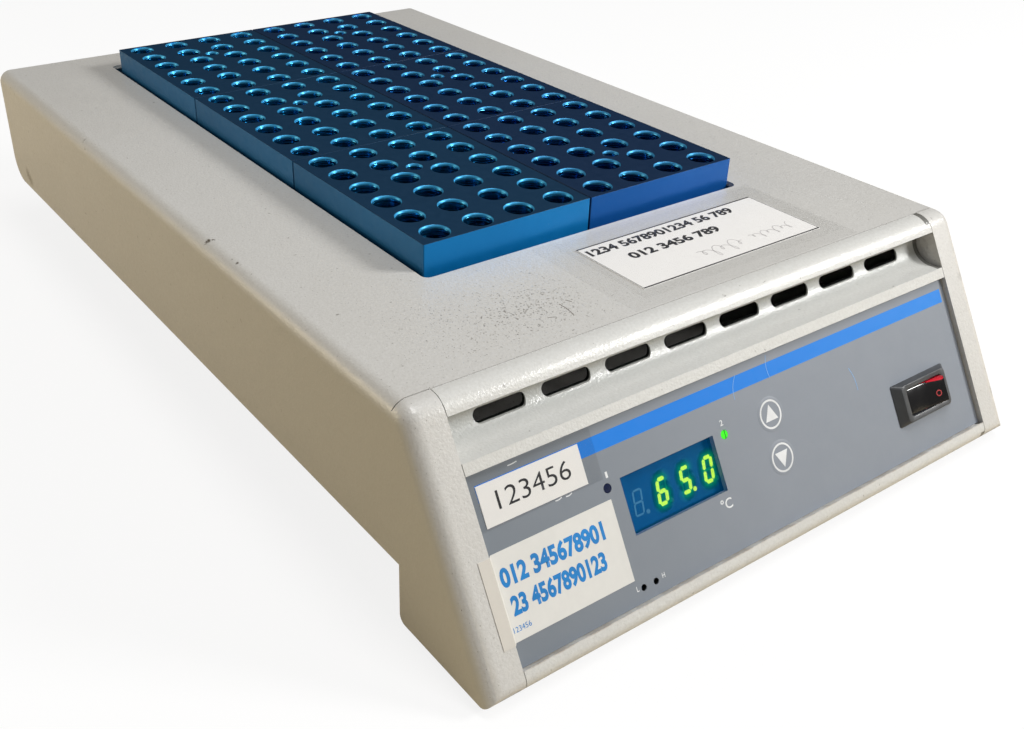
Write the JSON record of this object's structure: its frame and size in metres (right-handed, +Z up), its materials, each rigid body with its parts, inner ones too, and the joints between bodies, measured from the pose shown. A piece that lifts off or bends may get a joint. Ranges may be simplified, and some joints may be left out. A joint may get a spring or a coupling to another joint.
{
  "type": "dry block heater",
  "caption": "Bench heating block: a sheet-metal case with a sloping control front carries anodised sample blocks with rows of tube wells in its deck.",
  "frame": {"origin": "on the table, under the middle of the case", "axes": "+X to the right of a user in front, +Y to the back, +Z up"},
  "size_m": [0.26, 0.431, 0.0935],
  "materials": {
    "painted_case": "textured powder coat",
    "painted_front": "textured powder coat",
    "blue_block": "blue anodised",
    "bare_aluminium": "milled",
    "plated_steel": "zinc plated",
    "core_steel": "laminated",
    "probe_steel": "drawn",
    "brass_contacts": "plated",
    "screw_brass": "turned",
    "overlay_film": "printed film",
    "key_film": "satin",
    "window_filter": "tinted",
    "display_black": "moulded",
    "lamp_dark": "moulded",
    "lamp_green": "moulded",
    "black_plastic": "moulded",
    "red_plastic": "moulded",
    "trimmer_blue": "moulded",
    "board_green": "laminate",
    "terminal_green": "moulded",
    "triac_black": "moulded",
    "heater_mat": "silicone",
    "wool_pad": "felt",
    "foot_rubber": "matt",
    "label_paper": "printed"
  },
  "bodies": {
    "case": {"actual_lamp": "lamp_dark", "base_pan": "painted_case", "block_back_left": "blue_block", "block_back_right": "blue_block", "block_front_left": "blue_block", "block_front_right": "blue_block", "block_middle_left": "blue_block", "block_middle_right": "blue_block", "board_posts": "plated_steel", "board_screws": "plated_steel", "case_screws": "plated_steel", "case_shell": "painted_case", "control_overlay": "overlay_film", "deck_label": "label_paper", "display_board": "board_green", "display_module": "display_black", "display_window": "window_filter", "down_key_switch": "black_plastic", "foot_screws": "plated_steel", "front_left_foot": "foot_rubber", "front_panel": "painted_front", "front_right_foot": "foot_rubber", "heat_sink": "bare_aluminium", "heater_plate": "bare_aluminium", "heating_element": "heater_mat", "high_trimmer": "trimmer_blue", "inlet_pins": "brass_contacts", "inlet_screws": "plated_steel", "insulation_pad": "wool_pad", "low_trimmer": "trimmer_blue", "mains_inlet": "black_plastic", "number_label": "label_paper", "power_board": "board_green", "power_board_posts": "plated_steel", "rear_left_foot": "foot_rubber", "rear_right_foot": "foot_rubber", "setpoint_lamp": "lamp_green", "status_label": "label_paper", "switch_housing": "black_plastic", "switch_terminals": "brass_contacts", "temperature_probe": "probe_steel", "terminal_block": "terminal_green", "thermal_cutoff": "probe_steel", "transformer": "core_steel", "tray_posts": "plated_steel", "triac": "triac_black", "up_key_switch": "black_plastic", "well_tray": "plated_steel"},
    "power_rocker": {"rocker_core": "red_plastic", "rocker_cap": "black_plastic"},
    "upper_key": {"up_key": "key_film"},
    "lower_key": {"down_key": "key_film"},
    "low_screw": {"low_trim_screw": "screw_brass"},
    "high_screw": {"high_trim_screw": "screw_brass"}
  },
  "joints": [
    {"name": "rocker_tilt", "type": "hinge", "parent": "case", "child": "power_rocker", "pos_m": [0.0866, -0.20135, 0.02739], "axis": [0, 0.515, 0.8572], "range_deg": [0, 22]},
    {"name": "up_key_press", "type": "slide", "parent": "case", "child": "upper_key", "axis": [0, 0.8572, -0.515], "range_m": [0, 0.0004], "stiffness_N_per_m": 2500},
    {"name": "down_key_press", "type": "slide", "parent": "case", "child": "lower_key", "axis": [0, 0.8572, -0.515], "range_m": [0, 0.0004], "stiffness_N_per_m": 2500},
    {"name": "low_trim_turn", "type": "hinge", "parent": "case", "child": "low_screw", "pos_m": [-0.0643, -0.20633, 0.01172], "axis": [0, -0.8572, 0.515], "range_deg": [-135, 135]},
    {"name": "high_trim_turn", "type": "hinge", "parent": "case", "child": "high_screw", "pos_m": [-0.059, -0.20633, 0.01172], "axis": [0, -0.8572, 0.515], "range_deg": [-135, 135]}
  ]
}
